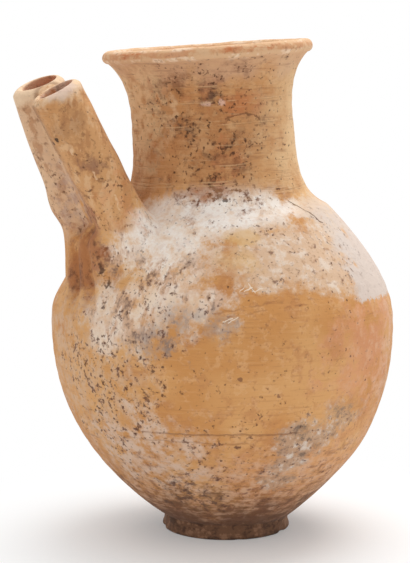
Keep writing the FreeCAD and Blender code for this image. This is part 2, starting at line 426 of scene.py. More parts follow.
def shade(red, green, blue):
    """Linear colour of an 8-bit one."""
    return (*(((part / 255 + 0.055) / 1.055) ** 2.4 for part in (red, green, blue)), 1.0)


# Noise of the sizes at which such clay varies, from clouds of colour down to single grains.
clay = Finish("weathered_clay")
broad = clay.cloud(38, 2)
ragged = clay.cloud(13, 5, 0.62)
mottle = clay.cloud(4.2, 4, 0.62)
fine = clay.cloud(1.6, 3, 0.6)
torn = clay.cloud(12, 6, 0.74, seed=2.0)
turned = clay.cloud(0.9, 3, 0.6, stretch=(14, 14, 1))
pits = clay.cloud(1.5, 2, 0.55, seed=5.0)
blots = clay.cloud(3.2, 3, 0.68, seed=9.0)
drips = clay.cloud(5.0, 4, 0.68, stretch=(1, 1, 2.6), seed=12.0)


def patch(centre, reach, tatter=0.3, soft=0.3):
    """1 inside an uneven patch round a place, with a tattered edge, and 0 outside."""
    return clay.rise(clay.away(centre, reach) + torn * tatter, 1 + soft, 1 - soft)


def either(*masks):
    """The strongest of several masks at each place."""
    strongest = masks[0]
    for mask in masks[1:]:
        strongest = strongest.math("MAXIMUM", strongest, mask)
    return strongest


wander = clay.node("ShaderNodeTexNoise", {}, {"Vector": clay.place, "Scale": 0.25, "Detail": 3.0}, "Color")
wander = clay.vector("SUBTRACT", {0: wander, 1: (0.5, 0.5, 0.5)})
wander = clay.vector("SCALE", {0: wander, "Scale": 6.0})
GLOBE_MIDDLE = Vector((-6, 0, 80))
SKIN_REACH = (3.0, 2.0)


def scratch(*places, width=0.3):
    """1 along a fine line over the skin from place to place, wandering a little."""
    spot = clay.vector("ADD", {0: clay.place, 1: clay.vector("SCALE", {0: wander, "Scale": 0.5})})
    lines = []
    for start, end in zip(places, places[1:]):
        run = Vector(end) - Vector(start)
        offset = clay.vector("SUBTRACT", {0: spot, 1: start})
        share = clay.vector("DOT_PRODUCT", {0: offset, 1: list(run / run.length_squared)}, "Value")
        share = clay.node("ShaderNodeClamp", {}, {0: share})
        nearest = clay.vector("SCALE", {0: list(run), "Scale": share})
        gap = clay.vector("SUBTRACT", {0: offset, 1: nearest})
        # Only the distance across the skin counts, so that a lump in the clay doesn't hide the line.
        outward = (Vector(start) + Vector(end)) / 2 - GLOBE_MIDDLE
        depth = clay.vector("PROJECT", {0: gap, 1: list(outward.normalized())})
        across = clay.vector("LENGTH", {0: clay.vector("SUBTRACT", {0: gap, 1: depth})}, "Value")
        near_skin = clay.rise(clay.vector("LENGTH", {0: depth}, "Value"), *SKIN_REACH)
        lines.append(clay.rise(across, width * 1.5, width * 0.5) * near_skin)
    return either(*lines)


def dots(radius, *places):
    """1 in each of a few single dots."""
    return either(*(clay.rise(clay.away(place, (radius,) * 3) + fine * 0.25, 1.2, 0.8) for place in places))


# Buff to orange fired clay, clouded and flecked, with faint turning lines all round.
clay.colour = clay.mix(shade(200, 142, 84), shade(212, 160, 104), clay.rise(broad, -1, 1))
clay.lay((184, 124, 77), clay.rise(ragged + mottle * 0.4, 0.2, 1.8) * 0.5)
clay.lay((222, 176, 128), clay.rise(mottle - ragged * 0.3, 0.3, 1.9) * 0.4)
clay.lay((170, 112, 70), clay.rise(fine + mottle * 0.5, 0.9, 2.3) * 0.4)
clay.lay((224, 178, 130), clay.rise(turned, 0.8, 2.2) * 0.2)
clay.lay((156, 104, 68), clay.rise(turned, -0.8, -2.2) * 0.24)

# The warmer fired side, low on the viewer's right, and beyond it a paler band along the right edge, which is
# a painted highlight.
salmon = patch((23, -55, 75), (21, 20, 19), 0.2, 0.5)
clay.lay((214, 149, 110), salmon * clay.rise(mottle + ragged, -3.0, 0.6) * 0.62)
clay.lay((224, 180, 146), salmon * clay.rise(fine + mottle, 0.2, 3.4) * 0.4)
# Painted highlight: the belly's right edge made paler, as the bright surround lights it at a grazing angle.
clay.lay((218, 184, 156), patch((50, -34, 64), (16, 26, 22), 0.3, 0.6) * clay.rise(mottle, -1.5, 1.0) * 0.5)
clay.lay((208, 146, 106), patch((10, -40, 28), (36, 30, 18)) * 0.3)

# Dust that has settled in the skin on the spout side, and on the far sides.
dusty_side = patch((-66, -8, 62), (19, 30, 40), 0.25, 0.5)
clay.lay((210, 176, 145), dusty_side * clay.rise(mottle + fine * 0.4, -1.8, 1.4) * 0.7)
far_dust = patch((-20, 66, 66), (50, 30, 40), 0.3, 0.5)
clay.lay((208, 176, 148), far_dust * clay.rise(mottle, -1.5, 1) * 0.6)

# Reddish brown and pinkish mottles low on the bowl, and a darkening towards the foot that is partly the
# clay's brown and partly painted shade under the bowl.
low_bowl = clay.rise(clay.z + ragged * 5, 50, 22)
clay.lay((212, 176, 150), low_bowl * clay.rise(mottle - blots * 0.4 + turned * 0.5, -1.6, 2.4) * 0.62)
clay.lay((138, 92, 70), low_bowl * clay.rise(blots + turned * 0.7 - mottle * 0.3, -0.4, 2.8) * 0.72)
clay.lay((216, 190, 170), patch((-46, -28, 37), (15, 18, 13), 0.4, 0.7) * clay.rise(mottle, -2.2, 1.2) * 0.78)
# Darker towards the foot: partly brown clay, partly painted shade under the overhanging bowl.
clay.lay((102, 67, 51), clay.rise(clay.z + (turned * 0.9 + mottle * 0.7 + ragged) * 2.6, 25, 8) * 0.84)
low_blotch = patch((-30, -29, 20.5), (11, 11, 5.5), 0.5)
clay.lay((92, 70, 62), low_blotch * clay.rise(blots + fine * 0.3, -1.0, 1.8) * 0.72)

# Lime bloom at the neck's base and down past the spouts.
bloom = either(
    patch((-20, -32, 121.5), (29, 18, 8.5), 0.16, 0.35),
    patch((-36, -16, 120.5), (8, 10, 5.5), 0.2, 0.5) * 0.85,
    patch((-41, -26, 111), (14, 17, 12), 0.22, 0.5) * 0.95,
    patch((-43, -41, 95), (12, 12, 12), 0.35, 0.7) * 0.55,
    patch((-57, -24, 87), (9, 12, 12), 0.35, 0.7) * 0.5,
    patch((8, 40, 114), (34, 16, 13), 0.4, 0.8) * 0.38,
)
clay.lay((232, 209, 186), bloom * 0.88)
clay.lay((246, 240, 233), bloom * clay.rise(ragged + mottle * 0.5 + fine * 0.3, -3.2, 0.7) * 0.88)
clay.lay((214, 186, 168), bloom * clay.rise(mottle - fine * 0.3, 0.7, 2.4) * 0.4)
drip_side = patch((-50, -32, 95), (20, 20, 19), 0.3, 0.4)
clay.lay((196, 146, 104), drip_side * clay.rise(drips + ragged * 0.3, -0.4, 1.2) * 0.66)
clay.lay((122, 98, 84), drip_side * clay.rise(drips + pits * 0.5 + fine * 0.4, 0.5, 2.6) * 0.78)
clay.lay((230, 204, 174), drip_side * clay.rise(drips - ragged * 0.3, -0.4, -1.8) * 0.45)

# A chalky mottle across the middle of the shoulder, an ochre stain, and a film down its far side, partly a
# real film and partly a painted highlight along that edge.
chalky = either(
    patch((-1, -48.5, 106.5), (30, 17, 11.5), 0.16, 0.35),
    patch((12, -54, 98.5), (12, 10, 7), 0.2, 0.35),
    patch((15, -41, 111), (13, 14, 10), 0.2, 0.35),
)
clay.lay((216, 186, 158), chalky * 0.85)
clay.lay((232, 218, 204), chalky * clay.rise(fine * 0.6 + mottle, -0.6, 2.2) * 0.62)
clay.lay((166, 122, 90), chalky * clay.rise(fine - mottle * 0.4, 0.2, 2.8) * 0.66)
film_foot = clay.rise(clay.z + fine * 0.4, 89.2, 90.4)
film_end = clay.rise(clay.y + ragged * 5 + mottle * 2, 6, -20)
film_and_highlight = either(patch((36, -40, 99), (19.5, 32, 23), 0.08, 0.14), patch((24, -27, 119), (14, 18, 7), 0.2))
film_and_highlight = film_and_highlight * film_foot * film_end
# The pale film along the right edge is partly a painted highlight.
clay.lay((212, 199, 190), film_and_highlight * clay.rise(ragged + mottle * 0.5, -4.4, -1.4) * 0.88)
clay.lay((190, 172, 160), film_and_highlight * clay.rise(mottle + fine * 0.5, 0.0, 2.8) * 0.4)
film_edge = patch((17, -52, 99), (5, 9, 8), 0.3, 0.5)
clay.lay((196, 156, 120), film_edge * clay.rise(mottle + fine * 0.4, -0.6, 1.8) * 0.5)
ochre = either(
    patch((-19, -43, 113), (6, 6, 3.2), 0.2, 0.4),
    patch((-22, -47, 106), (7, 6, 4), 0.3, 0.6) * 0.8,
)
clay.lay((218, 174, 110), ochre * 0.6)

# Grey crusts, mottled white and slate, and soft smudges.
crust = either(
    patch((-3.5, -56, 43), (9, 9, 7), 0.25, 0.4),
    patch((6, -57, 43), (6, 7, 6), 0.3, 0.4),
    patch((-5, -51.5, 34.5), (6, 7, 6), 0.3, 0.4),
    patch((13, -57, 51), (9, 8, 5), 0.35, 0.5) * 0.8,
    patch((-3, -46, 27), (7, 8, 4), 0.3, 0.4) * 0.8,
)
clay.lay((182, 156, 134), crust * 0.66)
clay.lay((220, 210, 199), crust * clay.rise(blots * 0.6 + mottle * 0.6, 0.0, 1.8) * 0.75)
clay.lay((108, 92, 82), crust * clay.rise(blots * 0.6 + mottle * 0.6, -0.2, -2.0) * 0.8)
smudge = either(
    patch((-51.5, -39.5, 79), (5.5, 6, 5), 0.25, 0.7),
    patch((-45, -44, 87), (6, 6, 5), 0.25, 0.7),
    patch((-35.5, -52, 85), (5.5, 5, 4.5), 0.25, 0.7),
)
clay.lay((158, 143, 135), smudge * clay.rise(mottle + fine * 0.4, -2.4, 1.6) * 0.6)

# Dark specks: purple-brown and thick on the spout side, sparse elsewhere, black where lime or crust lies.
speckled = either(
    patch((-60, -24, 60), (17, 20, 20), 0.5, 0.6),
    patch((-50, -30, 90), (18, 18, 16), 0.5, 0.6) * 0.6,
    patch((-20, -29, 126.5), (15, 10, 3.5), 0.3, 0.5),
    patch((-30, -38, 34), (26, 22, 16), 0.6, 0.6) * 0.6,
    chalky * 0.25,
    crust * 0.5,
)
small_specks = clay.rise(pits + fine * 0.3 + speckled, 1.7, 3.3)
large_specks = clay.rise(blots + fine * 0.5 + speckled, 1.7, 3.5)
clay.lay((92, 58, 40), small_specks * 0.85)
clay.lay((102, 66, 52), large_specks * clay.rise(speckled, -0.3, 0.5) * 0.85)
clay.lay((64, 54, 48), dots(0.9, (-20.1, -28.8, 126.8), (-23, -27.6, 127.4), (-18.6, -30.2, 125.2)) * 0.8)
clay.lay((84, 58, 46), dots(0.6, (-54.5, -34.7, 73.2), (-49.4, -41.1, 70.3), (-51.6, -38.1, 68.6)) * 0.8)
belly_dots = dots(0.8, (-28.2, -56.7, 66.3), (-15, -60.5, 60), (-2, -61.5, 84), (-8, -61, 82))
clay.lay((124, 82, 60), belly_dots * 0.75)

# A hairline crack, tool marks and small branching scratches.
crack = scratch(
    (5.6, -33.4, 124.7), (9.9, -36, 121.6), (14.1, -38.7, 118.4), (16.4, -39.8, 116.4), width=0.26
)
clay.lay((96, 62, 44), crack * 0.85)
white_marks = either(
    scratch((-26.4, -51.6, 95.4), (-24.0, -52.9, 97.8), width=0.2),
    scratch((-24.6, -52.6, 95.6), (-21.6, -54.0, 97.4), width=0.2),
    scratch((-22.8, -53.5, 98.6), (-20.8, -54.3, 95.2), width=0.2),
    scratch((-21.8, -53.9, 95.6), (-18.6, -55.1, 96.4), width=0.2),
    scratch((-33.0, -52.8, 86.0), (-30.2, -54.8, 87.2), width=0.2),
    scratch((-31.2, -54.1, 85.6), (-28.6, -55.6, 87.4), width=0.2),
)
clay.lay((240, 224, 204), white_marks * 0.8)
marks = either(
    scratch((-35, -50.9, 88.6), (-20, -57, 91.6), (-10.2, -59, 92.7), (6, -59.6, 92.2)),
    scratch((-31, -53.6, 87.6), (-16, -58.8, 90.2), (-4, -60.4, 90.6)),
)
clay.lay((156, 104, 66), marks * clay.rise(mottle, -1.0, 1.0) * 0.45)
back_line = clay.rise(clay.y, 0, 20) * clay.rise(broad, -0.6, 0.8)
turning_line = either(
    clay.rise(abs(clay.z - 46.2 + ragged * 0.25), 0.5, 0.1) * patch((-26, -50, 46), (30, 26, 20), 0.2),
    clay.rise(abs(clay.z - 42.9 + ragged * 0.3), 0.4, 0.1) * patch((-38, -42, 43), (20, 20, 20), 0.3) * 0.6,
    clay.rise(abs(clay.z - 46.6 + ragged * 0.3), 0.5, 0.1) * back_line,
)
clay.lay((132, 90, 62), turning_line * 0.5)

clay.height = fine * 0.014 + mottle * 0.024 + turned * 0.008
clay.height = clay.height - small_specks * 0.12 - turning_line * 0.2 - crack * 0.3

globe.data.materials.append(clay.material)
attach(globe, "root")
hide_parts("globe_body")

# Neck
# A flaring collar, thrown apart and set on the waist while the clay was leather-hard.
# Its outside is browner and more closely turned than the globe, and a flake has come off its front.
NECK_WALL = 4.0
NECK_HEIGHT = 29.6
NECK_FLARE = 6.6
NECK_TOP_ANGLE = 42.0
FLAKE_CENTRE = Vector((-9.8, -29.2, 152.0))
FLAKE_REACH = Vector((6.6, 6.0, 3.4))
FLAKE_DEPTH = 0.45
INTO_NECK = Vector((0.35, 0.94, 0))
# Lines of the wheel, by their height above the waist and how unbroken each is.
WHEEL_LINES = (
    (-18.6, -1.2),
    (-14.2, -1.4),
    (-13.1, -0.8),
    (-7.5, 0.0),
    (6.6, -1.0),
    (14.8, -0.8),
    (20.5, 0.0),
)

neck_outer = thrown_curve(
    (WAIST[0], 0.0), UPRIGHT, (WAIST[0] + NECK_FLARE, NECK_HEIGHT), NECK_TOP_ANGLE, (0.19, 0.41)
)
neck_inner = inset_curve(neck_outer, NECK_WALL)
neck_outline = points_along(neck_outer, OUTER_STEP)
neck_outline += points_between(neck_outer[-1], neck_inner[-1], 2)
neck_outline += points_along(neck_inner, 2 * OUTER_STEP)[::-1]
neck_outline += points_between(neck_inner[0], neck_outer[0], 2)
neck_form = thrown(neck_outline, closed=True)
for vert in neck_form.verts:
    place = neck_frame @ vert.co
    off = place - FLAKE_CENTRE
    spread = Vector([part / reach for part, reach in zip(off, FLAKE_REACH)]).length
    spread += 0.15 * noise.noise(place / 2.5)
    # The flake is deepest under its upper edge and runs out below.
    bite = FLAKE_DEPTH * ease(1 - spread, 0.0, 0.22) * ease(off.z, -FLAKE_REACH.z, FLAKE_REACH.z)
    vert.co = hand_made(place + bite * INTO_NECK)
neck = piece_from(neck_form, "flared_neck")

up_neck = clay.along(neck_frame.translation, neck_frame.to_3x3() @ Vector((0, 0, 1)))
on_neck = clay.rise(clay.z + ragged * 1.2, 125, 130)
clay.lay((188, 136, 92), on_neck * 0.55)
brown_side = patch((-23, -26, 149), (19, 19, 20), 0.25, 0.5)
clay.lay((164, 107, 64), brown_side * 0.66)
clay.lay((130, 80, 48), brown_side * clay.rise(mottle + turned * 0.4 + ragged * 0.3, 0.0, 1.8) * 0.72)
clay.lay((190, 120, 76), brown_side * clay.rise(ragged - mottle * 0.3, 0.4, 1.6) * 0.5)
clay.lay((212, 164, 114), on_neck * clay.rise(mottle - ragged * 0.5, 0.2, 1.9) * 0.5)
# Painted highlight: a pale cream band down the neck's right edge.
clay.lay((228, 192, 146), patch((17, -14, 150), (20, 22, 32), 0.2, 0.7) * 0.84)
clay.lay((206, 168, 136), clay.rise(up_neck + ragged * 1.4, 19, 27) * 0.6)
spout_side = patch((-38, 1, 156), (7, 14, 28), 0.25, 0.5)
clay.lay((230, 196, 152), spout_side * clay.rise(mottle, -2.4, 0.6) * 0.8)
drip = scratch((-31, -15, 164), (-30.5, -16, 158), (-30, -14, 150), (-31, -11, 143), width=1.8)
clay.lay((222, 186, 146), drip * clay.rise(mottle, -1.4, 0.8) * 0.6)
clay.lay((110, 68, 42), brown_side * clay.rise(ragged + mottle * 0.6, 0.3, 2.4) * 0.6)
clay.lay((202, 154, 106), brown_side * clay.rise(ragged + mottle * 0.6, -0.3, -2.2) * 0.5)
clay.lay((190, 112, 66), patch((-13, -28.6, 159), (7, 5, 4), 0.4, 0.6) * 0.5)
clay.lay((138, 90, 58), patch((-30, -18.5, 166), (5, 5, 3.4), 0.4, 0.6) * clay.rise(mottle, -1.4, 1.0) * 0.6)
clay.lay((206, 162, 118), patch((-24, -23, 145), (4, 4, 2.6), 0.4, 0.6) * 0.5)
dark_neck = either(
    patch((-21.5, -26, 161), (4, 4, 3), 0.5, 0.6),
    patch((-24, -23.5, 155), (3.4, 3.4, 2.8), 0.5, 0.6),
    patch((-28.3, -19.5, 150.5), (4, 4, 4.4), 0.5, 0.6),
)
clay.lay((84, 62, 52), dark_neck * clay.rise(fine + mottle * 0.4, -1.4, 1.4) * 0.66)
chips = either(
    patch((-23, -24.8, 158.8), (2.6, 2.6, 1.2), 0.4, 0.4),
    patch((-18.4, -27.4, 159.2), (1.4, 1.4, 1.2), 0.4),
)
clay.lay((224, 184, 164), chips * 0.7)
clay.lay((218, 180, 136), patch((-14.6, -28.4, 151), (2.4, 2.4, 1.8), 0.3, 0.5) * 0.6)
neck_specks = patch((-24, -27, 148), (20, 16, 22), 0.4, 0.7)
speck_share = either(neck_specks, on_neck * 0.2)
clay.lay((80, 48, 30), clay.rise(pits + fine * 0.4 + speck_share * 1.2, 1.7, 3.3) * on_neck * 0.88)
clay.lay((94, 58, 38), neck_specks * clay.rise(blots + fine * 0.6, 0.8, 3.0) * 0.7)
broken = ragged + mottle * 0.4
neck_line = either(*(
    clay.rise(abs(up_neck - line + ragged * 0.12), 0.42, 0.1) * clay.rise(broken, low, low + 1.4)
    for line, low in WHEEL_LINES
))
clay.lay((222, 180, 134), on_neck * neck_line * 0.42)
clay.lay((214, 170, 126), on_neck * clay.rise(turned, 0.8, 2.4) * 0.3)
clay.lay((124, 80, 52), on_neck * clay.rise(turned, -0.8, -2.4) * 0.32)
flake_gap = clay.away(FLAKE_CENTRE, FLAKE_REACH) + mottle * 0.08 + fine * 0.03
flake = clay.rise(flake_gap, 1.05, 0.85)
clay.lay((204, 152, 102), flake * 0.42)
flake_edge = clay.rise(abs(flake_gap - 1.0), 0.1, 0.02) * clay.rise(clay.z, 151.6, 153.4)
clay.lay((104, 66, 42), flake_edge * 0.66)
clay.height = clay.height - on_neck * neck_line * 0.15 + on_neck * turned * 0.012

neck.data.materials.append(clay.material)
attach(neck, "root")
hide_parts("neck")

# Lip bead
# A coil of paler clay rolled over the neck's edge and smoothed by a wet finger, so that it is never quite
# level. Its crown is worn through to orange clay in places.
LIP_RADIUS = 38.3
LIP_THICKNESS = 4.8
LIP_RISE = 2.3
LIP_TUCK_ANGLE = 60.0
LIP_ARC_POINTS = 12
LIP_STEP = 0.6
FINGER_WOBBLE, FINGER_WOBBLE_HEIGHT = 9, 0.22
SKIN_WOBBLE, SKIN_WOBBLE_HEIGHT = 4, 0.07

bead = LIP_THICKNESS / 2
lip_centre = Vector((LIP_RADIUS - bead, 0, NECK_HEIGHT + LIP_RISE))
lip_outline = points_between(neck_inner[-1], neck_outer[-1], 2)
lip_outline.append(Vector((neck_outer[-1][0], 0, neck_outer[-1][1])))
for index in range(LIP_ARC_POINTS + 1):
    angle = math.radians(-LIP_TUCK_ANGLE + (90 + LIP_TUCK_ANGLE) * index / LIP_ARC_POINTS)
    lip_outline.append(lip_centre + bead * Vector((math.cos(angle), 0, math.sin(angle))))
lip_roll = thrown_curve(
    (lip_centre.x, lip_centre.z + bead), 180, tuple(neck_inner[-1]), 180 + NECK_TOP_ANGLE, (0.5, 0.5)
)
lip_outline += points_along(lip_roll, LIP_STEP)[1:]
lip_form = thrown(lip_outline, closed=True)
for vert in lip_form.verts:
    rolled = vert.co.z - NECK_HEIGHT
    vert.co = neck_frame @ vert.co
    finger = noise.noise_vector(vert.co / FINGER_WOBBLE) * FINGER_WOBBLE_HEIGHT
    finger += noise.noise_vector(vert.co / SKIN_WOBBLE) * SKIN_WOBBLE_HEIGHT
    vert.co = hand_made(vert.co + finger * ease(rolled, 0.0, 2.0), ridges=0.3)
lip = piece_from(lip_form, "rolled_lip")

on_lip = clay.rise(up_neck + ragged * 0.2, 28.8, 30.4)
clay.lay((221, 182, 142), on_lip * 0.74)
clay.lay((242, 220, 194), on_lip * clay.rise(mottle + ragged * 0.5, -0.2, 2.0) * 0.6)
lip_band = clay.rise(up_neck + ragged * 0.15, 30.9, 31.7) * clay.rise(up_neck + ragged * 0.15, 33.9, 32.9)
clay.lay((198, 134, 86), lip_band * clay.rise(mottle + ragged * 0.5, -1.6, 1.0) * 0.75)
worn = either(
    patch((-33, -24, 179), (8, 5, 2.4), 0.4, 0.6),
    patch((-21, -34, 180), (8, 4, 2.2), 0.4, 0.6),
    patch((-8, -37, 181), (7, 4, 2.2), 0.4, 0.6),
    patch((-41, -10, 178), (6, 7, 2.2), 0.4, 0.6),
)
clay.lay((188, 102, 54), lip_band * worn * clay.rise(mottle + turned * 0.6, -1.2, 1.0) * 0.8)
clay.lay((160, 108, 74), on_lip * clay.rise(fine + mottle * 0.5, 0.9, 2.4) * 0.5)

lip.data.materials.append(clay.material)
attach(lip, "root")
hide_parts("lip_bead")

# Foot ring
# A low ring of clay turned and luted under the bowl, cut to the bowl's curve where they meet.
# It is smoke-brown, worn, and chipped along its lower edge.
FOOT_EDGE_ROUND = 1.2
FOOT_TAPER = 0.6
FOOT_WAIST = 0.35
FOOT_OUTER_WALL = 22
# Where chips are missing: the place of each, how far it reaches and how deep it is.
CHIPS = (
    (Vector((12.7, -20.6, 0.2)), 3.6, 0.6),
    (Vector((-8.0, -23.0, 0.0)), 2.4, 0.35),
    (Vector((-22.5, 8.5, 0.2)), 3.6, 0.9),
    (Vector((11.0, 21.5, 0.0)), 3.0, 0.7),
)

foot_bore = FOOT_RADIUS - FOOT_RING_WIDTH
bore_edge = foot_bore + FOOT_EDGE_ROUND
outer_edge = FOOT_RADIUS - FOOT_EDGE_ROUND
foot_top = (FOOT_RADIUS - FOOT_TAPER, FOOT_JOINT_HEIGHT)
bore_top = (foot_bore, FOOT_JOINT_HEIGHT)


def edge_round(centre_radius, first):
    """Quarter turn of a rounded lower edge, from its first angle in degrees."""
    centre = Vector((centre_radius, 0, FOOT_EDGE_ROUND))
    angles = [math.radians(first + 90 * index / 5) for index in range(6)]
    return [centre + FOOT_EDGE_ROUND * Vector((math.cos(angle), 0, math.sin(angle))) for angle in angles]


foot_outline = points_between((bore_edge, 0), (outer_edge, 0), 4) + edge_round(outer_edge, -90)
foot_outline += points_between((FOOT_RADIUS, FOOT_EDGE_ROUND), foot_top, 8)
foot_outline.append(Vector((foot_top[0], 0, foot_top[1])))
foot_outline += points_between(foot_top, bore_top, 6)
foot_outline += points_between(bore_top, (foot_bore, FOOT_EDGE_ROUND), 3) + edge_round(bore_edge, 180)
foot_form = thrown(foot_outline, closed=True)
for vert in foot_form.verts:
    below = Vector((vert.co.x, vert.co.y, -10.0))
    seat = globe_skin.ray_cast(below, Vector((0, 0, 1)))[0]
    share = vert.co.z / FOOT_JOINT_HEIGHT
    outward = Vector((vert.co.x, vert.co.y, 0)).normalized()
    vert.co.z = share * seat.z
    vert.co += outward * noise.noise(vert.co / 6) * 0.3 * ease(share, 0, 0.2) * ease(1 - share, 0, 0.3)
    if vert.co.length > FOOT_OUTER_WALL:
        vert.co -= outward * FOOT_WAIST * swell(share, 0.55, 0.25)
    for centre, reach, depth in CHIPS:
        bite = ease(reach - (vert.co - centre).length, 0, reach * 0.7)
        vert.co += bite * depth * (Vector((0, 0, 0.45)) - outward)
foot = piece_from(foot_form, "turned_foot")

on_foot = clay.rise(clay.z + ragged * 0.25, 7.4, 5.6)
clay.lay((122, 88, 66), on_foot * 0.88)
clay.lay((72, 51, 40), on_foot * clay.rise(mottle + fine * 0.7 + turned * 0.5, 0.1, 2.2) * 0.72)
clay.lay((168, 128, 100), on_foot * clay.rise(mottle + fine * 0.7 - turned * 0.5, -0.6, -2.4) * 0.55)
clay.lay((170, 130, 100), on_foot * patch((21, -11, 3.5), (7, 8, 4), 0.3, 0.6) * 0.6)
clay.lay((58, 42, 34), clay.rise(clay.z + fine * 0.25, 1.7, 0.5) * clay.rise(mottle, -1.4, 0.6) * 0.6)

foot.data.materials.append(clay.material)
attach(foot, "root")
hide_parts("foot_ring")

# Spouts and luting clay
# Two tubes rolled round a stick, stood over the holes and pressed together. Clay is worked into the grooves
# between them and drawn down below them by three fingers, so that all four pieces run into each other.
LUTED = {
    "left_spout": "spout_clay",
    "right_spout": "spout_clay",
    "spout_web": "luting_clay",
    "spout_rib": "luting_clay",
}
SPOUT_MOUTHS = (Vector((-74.1, -8.7, 164.0)), Vector((-72.4, 8.7, 166.0)))
MOUTH_DEPTH = 14.0
MOUTH_FLARE = 1.5
SKIN_STEP = 0.5
SWELLING = 0.14
RIM_PASSES, TUBE_PASSES, ROOT_PASSES = 2, 4, 26
DENT, DENT_HEIGHT = 8, 0.2
SHELL = 0.9
SINK = 0.45
BURIED = -0.32


def cad_copy(node):
    """Merged copy of a solid's mesh in millimetres."""
    form = bmesh.new()
    form.from_mesh(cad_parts[node].data)
    bmesh.ops.remove_doubles(form, verts=form.verts, dist=1e-7)
    bmesh.ops.scale(form, vec=(1 / MM, 1 / MM, 1 / MM), verts=form.verts)
    return form


wall = loose_piece(cad_copy("globe_body"), "shoulder_wall")
block_form = bmesh.new()
bmesh.ops.create_cube(block_form, size=1.0)
bmesh.ops.scale(block_form, vec=(60, 84, 60), verts=block_form.verts)
bmesh.ops.translate(block_form, vec=(-54, 0, 106), verts=block_form.verts)
block = loose_piece(block_form, "shoulder_block")
crop = wall.modifiers.new("crop", "BOOLEAN")
crop.operation = "INTERSECT"
crop.solver = "EXACT"
crop.object = block
applied(wall)
bpy.data.objects.remove(block)

cluster_form = bmesh.new()
cluster_form.from_mesh(wall.data)
bpy.data.objects.remove(wall)
node_skins = {}
for node in LUTED:
    copy = cad_copy(node)
    node_skins[node] = BVHTree.FromBMesh(copy)
    copy.normal_update()
    for vert in copy.verts:
        vert.co += vert.normal * SWELLING
    swollen = bpy.data.meshes.new(node)
    copy.to_mesh(swollen)
    copy.free()
    cluster_form.from_mesh(swollen)
    bpy.data.meshes.remove(swollen)
cluster = loose_piece(cluster_form, "luted_spouts")
skin = cluster.modifiers.new("one skin", "REMESH")
skin.mode = "VOXEL"
skin.voxel_size = SKIN_STEP
applied(cluster)

form = bmesh.new()
form.from_mesh(cluster.data)
bpy.data.objects.remove(cluster)


def from_lip(point):
    """How far a point is below the nearer spout's mouth."""
    return min((point - mouth).length for mouth in SPOUT_MOUTHS)


tubes = [vert for vert in form.verts if from_lip(vert.co) > MOUTH_DEPTH]
roots = [vert for vert in form.verts if vert.co.z < 116 or (vert.co.z < 124 and vert.co.x > -52)]
for verts, passes in ((form.verts, RIM_PASSES), (tubes, TUBE_PASSES), (roots, ROOT_PASSES)):
    for _ in range(passes):
        bmesh.ops.smooth_vert(
            form, verts=verts, factor=0.5, use_axis_x=True, use_axis_y=True, use_axis_z=True
        )
form.normal_update()

owner = form.faces.layers.int.new("owner")
for face in form.faces:
    middle = face.calc_center_median()
    gaps = [node_skins[node].find_nearest(middle)[3] for node in LUTED]
    face[owner] = gaps.index(min(gaps))
for vert in form.verts:
    place = vert.co.copy()
    slumped = place - vert.normal * SWELLING
    # The far tube sags outwards above its root and tucks in under it.
    outer = ease(-vert.normal.dot(ASIDE), 0.0, 0.8) * ease(place.y, -2.0, 8.0) * ease(place.x, -48, -56)
    sag = 1.0 * swell(place.z, 143, 14) + 2.2 * swell(place.z, 121, 8 if place.z > 121 else 5)
    slumped -= ASIDE * sag * outer
    slumped += noise.noise_vector(place / DENT) * DENT_HEIGHT
    for mouth, (start, direction) in zip(SPOUT_MOUTHS, BORES):
        # A finger opened each mouth, so its hole widens towards the rim.
        from_axis = place - start - direction * (place - start).dot(direction)
        opened = ease(MOUTH_DEPTH - (place - mouth).length, 0.0, MOUTH_DEPTH)
        opened *= ease(from_axis.length, 9.0, 6.0)
        slumped += from_axis.normalized() * MOUTH_FLARE * opened
    vert.co = hand_made(slumped, ridges=0.0)
form.normal_update()

sunk = []
for vert in form.verts:
    spot, normal, _, _ = globe_skin.find_nearest(vert.co)
    over = (vert.co - spot).dot(normal)
    drop = SINK * (1 - ease(over, 0.0, 0.9))
    sunk.append(over - drop)
    vert.co -= normal * drop
form.verts.ensure_lookup_table()
hidden = [face for face in form.faces if all(sunk[vert.index] < BURIED for vert in face.verts)]
bmesh.ops.delete(form, geom=hidden, context="FACES")
form.normal_update()

# Crumbs that the crop leaves are dropped.
form.faces.ensure_lookup_table()
left_over = set(form.faces)
islands = []
while left_over:
    island = {left_over.pop()}
    edge_of_island = list(island)
    while edge_of_island:
        face = edge_of_island.pop()
        for edge in face.edges:
            for other in edge.link_faces:
                if other in left_over:
                    left_over.discard(other)
                    island.add(other)
                    edge_of_island.append(other)
    islands.append(island)
islands.sort(key=len)
bmesh.ops.delete(form, geom=[face for island in islands[:-1] for face in island], context="FACES")

whole_normals = KDTree(len(form.verts))
normals = []
for index, vert in enumerate(form.verts):
    whole_normals.insert(vert.co * MM, index)
    normals.append(vert.normal.copy())
whole_normals.balance()

for number, (node, slot) in enumerate(LUTED.items()):
    part = form.copy()
    layer = part.faces.layers.int["owner"]
    bmesh.ops.delete(part, geom=[face for face in part.faces if face[layer] != number], context="FACES")
    piece = piece_from(part, "luted_" + node)
    thicken = piece.modifiers.new("wall", "SOLIDIFY")
    thicken.thickness = SHELL * MM
    thicken.offset = -1.0
    mesh = applied(piece)
    outer_normals = []
    for vert in mesh.vertices:
        _, nearest, gap = whole_normals.find(vert.co)
        outer_normals.append(normals[nearest] if gap < 1e-6 else vert.normal.copy())
    mesh.normals_split_custom_set_from_vertices(outer_normals)
    piece.data.materials.append(clay.material)
    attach(piece, "root")
    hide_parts(node)
form.free()

